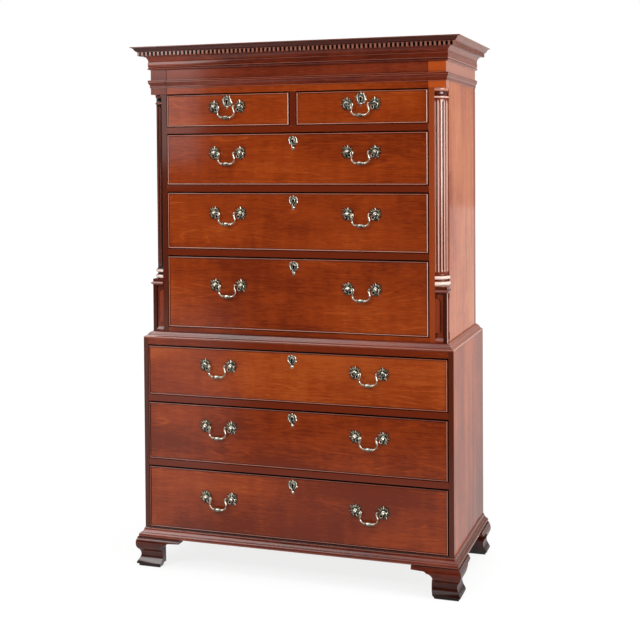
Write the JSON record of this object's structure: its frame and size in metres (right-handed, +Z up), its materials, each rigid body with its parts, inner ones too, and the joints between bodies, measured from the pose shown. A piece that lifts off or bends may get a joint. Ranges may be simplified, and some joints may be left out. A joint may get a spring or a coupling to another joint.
{
  "type": "chest on chest",
  "caption": "Two stacked chests of drawers on bracket feet, with fluted quarter columns, a dentil cornice, locking drawers and swinging bail handles.",
  "frame": {"origin": "on the floor, under the middle of the whole chest", "axes": "+Z up, +X to the right of someone who faces the drawers, drawers open towards -Y"},
  "size_m": [1.17, 0.545, 1.83],
  "materials": {
    "mahogany": "french polished",
    "oak": "bare",
    "pine": "bare, darkened with age",
    "brass": "cast, aged",
    "iron": "worn"
  },
  "bodies": {
    "lower_chest": {"lower_sides": "mahogany", "lower_boards": "pine", "lower_dividers": "mahogany", "lower_backboards": "pine", "base_moulding": "mahogany", "bracket_feet": "mahogany", "waist_moulding": "mahogany"},
    "upper_chest": {"upper_sides": "mahogany", "upper_boards": "pine", "upper_dividers": "mahogany", "upper_backboards": "pine", "quarter_columns": "mahogany", "frieze": "mahogany", "cornice": "mahogany"},
    "lower_bottom_drawer": {"lower_bottom_drawer_front": "mahogany", "lower_bottom_drawer_box": "oak", "lower_bottom_drawer_brasses": "brass"},
    "lower_bottom_lock_bolt": {"lower_bottom_drawer_lock_bolt": "iron"},
    "lower_bottom_bail_left": {"lower_bottom_drawer_bail_left": "brass"},
    "lower_bottom_bail_right": {"lower_bottom_drawer_bail_right": "brass"},
    "lower_middle_drawer": {"lower_middle_drawer_front": "mahogany", "lower_middle_drawer_box": "oak", "lower_middle_drawer_brasses": "brass"},
    "lower_middle_lock_bolt": {"lower_middle_drawer_lock_bolt": "iron"},
    "lower_middle_bail_left": {"lower_middle_drawer_bail_left": "brass"},
    "lower_middle_bail_right": {"lower_middle_drawer_bail_right": "brass"},
    "lower_top_drawer": {"lower_top_drawer_front": "mahogany", "lower_top_drawer_box": "oak", "lower_top_drawer_brasses": "brass"},
    "lower_top_lock_bolt": {"lower_top_drawer_lock_bolt": "iron"},
    "lower_top_bail_left": {"lower_top_drawer_bail_left": "brass"},
    "lower_top_bail_right": {"lower_top_drawer_bail_right": "brass"},
    "upper_bottom_drawer": {"upper_bottom_drawer_front": "mahogany", "upper_bottom_drawer_box": "oak", "upper_bottom_drawer_brasses": "brass"},
    "upper_bottom_lock_bolt": {"upper_bottom_drawer_lock_bolt": "iron"},
    "upper_bottom_bail_left": {"upper_bottom_drawer_bail_left": "brass"},
    "upper_bottom_bail_right": {"upper_bottom_drawer_bail_right": "brass"},
    "upper_middle_drawer": {"upper_middle_drawer_front": "mahogany", "upper_middle_drawer_box": "oak", "upper_middle_drawer_brasses": "brass"},
    "upper_middle_lock_bolt": {"upper_middle_drawer_lock_bolt": "iron"},
    "upper_middle_bail_left": {"upper_middle_drawer_bail_left": "brass"},
    "upper_middle_bail_right": {"upper_middle_drawer_bail_right": "brass"},
    "upper_top_drawer": {"upper_top_drawer_front": "mahogany", "upper_top_drawer_box": "oak", "upper_top_drawer_brasses": "brass"},
    "upper_top_lock_bolt": {"upper_top_drawer_lock_bolt": "iron"},
    "upper_top_bail_left": {"upper_top_drawer_bail_left": "brass"},
    "upper_top_bail_right": {"upper_top_drawer_bail_right": "brass"},
    "short_left_drawer": {"short_left_drawer_front": "mahogany", "short_left_drawer_box": "oak", "short_left_drawer_brasses": "brass"},
    "short_left_lock_bolt": {"short_left_drawer_lock_bolt": "iron"},
    "short_left_bail": {"short_left_drawer_bail": "brass"},
    "short_right_drawer": {"short_right_drawer_front": "mahogany", "short_right_drawer_box": "oak", "short_right_drawer_brasses": "brass"},
    "short_right_lock_bolt": {"short_right_drawer_lock_bolt": "iron"},
    "short_right_bail": {"short_right_drawer_bail": "brass"}
  },
  "joints": [
    {"name": "upper_chest_lift", "type": "slide", "parent": "lower_chest", "child": "upper_chest", "axis": [0, 0, 1], "range_m": [0, 0.06]},
    {"name": "lower_bottom_drawer_slide", "type": "slide", "parent": "lower_chest", "child": "lower_bottom_drawer", "axis": [0, -1, 0], "range_m": [0, 0.4]},
    {"name": "lower_bottom_lock_throw", "type": "slide", "parent": "lower_bottom_drawer", "child": "lower_bottom_lock_bolt", "axis": [0, 0, 1], "range_m": [0, 0.009]},
    {"name": "lower_bottom_bail_left_swing", "type": "hinge", "parent": "lower_bottom_drawer", "child": "lower_bottom_bail_left", "pos_m": [-0.271, -0.2575, 0.262], "axis": [-1, 0, 0], "range_deg": [0, 150]},
    {"name": "lower_bottom_bail_right_swing", "type": "hinge", "parent": "lower_bottom_drawer", "child": "lower_bottom_bail_right", "pos_m": [0.271, -0.2575, 0.262], "axis": [-1, 0, 0], "range_deg": [0, 150]},
    {"name": "lower_middle_drawer_slide", "type": "slide", "parent": "lower_chest", "child": "lower_middle_drawer", "axis": [0, -1, 0], "range_m": [0, 0.4]},
    {"name": "lower_middle_lock_throw", "type": "slide", "parent": "lower_middle_drawer", "child": "lower_middle_lock_bolt", "axis": [0, 0, 1], "range_m": [0, 0.009]},
    {"name": "lower_middle_bail_left_swing", "type": "hinge", "parent": "lower_middle_drawer", "child": "lower_middle_bail_left", "pos_m": [-0.271, -0.2575, 0.51], "axis": [-1, 0, 0], "range_deg": [0, 150]},
    {"name": "lower_middle_bail_right_swing", "type": "hinge", "parent": "lower_middle_drawer", "child": "lower_middle_bail_right", "pos_m": [0.271, -0.2575, 0.51], "axis": [-1, 0, 0], "range_deg": [0, 150]},
    {"name": "lower_top_drawer_slide", "type": "slide", "parent": "lower_chest", "child": "lower_top_drawer", "axis": [0, -1, 0], "range_m": [0, 0.4]},
    {"name": "lower_top_lock_throw", "type": "slide", "parent": "lower_top_drawer", "child": "lower_top_lock_bolt", "axis": [0, 0, 1], "range_m": [0, 0.009]},
    {"name": "lower_top_bail_left_swing", "type": "hinge", "parent": "lower_top_drawer", "child": "lower_top_bail_left", "pos_m": [-0.271, -0.2575, 0.723], "axis": [-1, 0, 0], "range_deg": [0, 150]},
    {"name": "lower_top_bail_right_swing", "type": "hinge", "parent": "lower_top_drawer", "child": "lower_top_bail_right", "pos_m": [0.271, -0.2575, 0.723], "axis": [-1, 0, 0], "range_deg": [0, 150]},
    {"name": "upper_bottom_drawer_slide", "type": "slide", "parent": "upper_chest", "child": "upper_bottom_drawer", "axis": [0, -1, 0], "range_m": [0, 0.4]},
    {"name": "upper_bottom_lock_throw", "type": "slide", "parent": "upper_bottom_drawer", "child": "upper_bottom_lock_bolt", "axis": [0, 0, 1], "range_m": [0, 0.009]},
    {"name": "upper_bottom_bail_left_swing", "type": "hinge", "parent": "upper_bottom_drawer", "child": "upper_bottom_bail_left", "pos_m": [-0.241, -0.2315, 0.9995], "axis": [-1, 0, 0], "range_deg": [0, 150]},
    {"name": "upper_bottom_bail_right_swing", "type": "hinge", "parent": "upper_bottom_drawer", "child": "upper_bottom_bail_right", "pos_m": [0.241, -0.2315, 0.9995], "axis": [-1, 0, 0], "range_deg": [0, 150]},
    {"name": "upper_middle_drawer_slide", "type": "slide", "parent": "upper_chest", "child": "upper_middle_drawer", "axis": [0, -1, 0], "range_m": [0, 0.4]},
    {"name": "upper_middle_lock_throw", "type": "slide", "parent": "upper_middle_drawer", "child": "upper_middle_lock_bolt", "axis": [0, 0, 1], "range_m": [0, 0.009]},
    {"name": "upper_middle_bail_left_swing", "type": "hinge", "parent": "upper_middle_drawer", "child": "upper_middle_bail_left", "pos_m": [-0.241, -0.2315, 1.25], "axis": [-1, 0, 0], "range_deg": [0, 150]},
    {"name": "upper_middle_bail_right_swing", "type": "hinge", "parent": "upper_middle_drawer", "child": "upper_middle_bail_right", "pos_m": [0.241, -0.2315, 1.25], "axis": [-1, 0, 0], "range_deg": [0, 150]},
    {"name": "upper_top_drawer_slide", "type": "slide", "parent": "upper_chest", "child": "upper_top_drawer", "axis": [0, -1, 0], "range_m": [0, 0.4]},
    {"name": "upper_top_lock_throw", "type": "slide", "parent": "upper_top_drawer", "child": "upper_top_lock_bolt", "axis": [0, 0, 1], "range_m": [0, 0.009]},
    {"name": "upper_top_bail_left_swing", "type": "hinge", "parent": "upper_top_drawer", "child": "upper_top_bail_left", "pos_m": [-0.241, -0.2315, 1.458], "axis": [-1, 0, 0], "range_deg": [0, 150]},
    {"name": "upper_top_bail_right_swing", "type": "hinge", "parent": "upper_top_drawer", "child": "upper_top_bail_right", "pos_m": [0.241, -0.2315, 1.458], "axis": [-1, 0, 0], "range_deg": [0, 150]},
    {"name": "short_left_drawer_slide", "type": "slide", "parent": "upper_chest", "child": "short_left_drawer", "axis": [0, -1, 0], "range_m": [0, 0.4]},
    {"name": "short_left_lock_throw", "type": "slide", "parent": "short_left_drawer", "child": "short_left_lock_bolt", "axis": [0, 0, 1], "range_m": [0, 0.009]},
    {"name": "short_left_bail_swing", "type": "hinge", "parent": "short_left_drawer", "child": "short_left_bail", "pos_m": [-0.241, -0.2315, 1.618], "axis": [-1, 0, 0], "range_deg": [0, 150]},
    {"name": "short_right_drawer_slide", "type": "slide", "parent": "upper_chest", "child": "short_right_drawer", "axis": [0, -1, 0], "range_m": [0, 0.4]},
    {"name": "short_right_lock_throw", "type": "slide", "parent": "short_right_drawer", "child": "short_right_lock_bolt", "axis": [0, 0, 1], "range_m": [0, 0.009]},
    {"name": "short_right_bail_swing", "type": "hinge", "parent": "short_right_drawer", "child": "short_right_bail", "pos_m": [0.241, -0.2315, 1.618], "axis": [-1, 0, 0], "range_deg": [0, 150]}
  ]
}
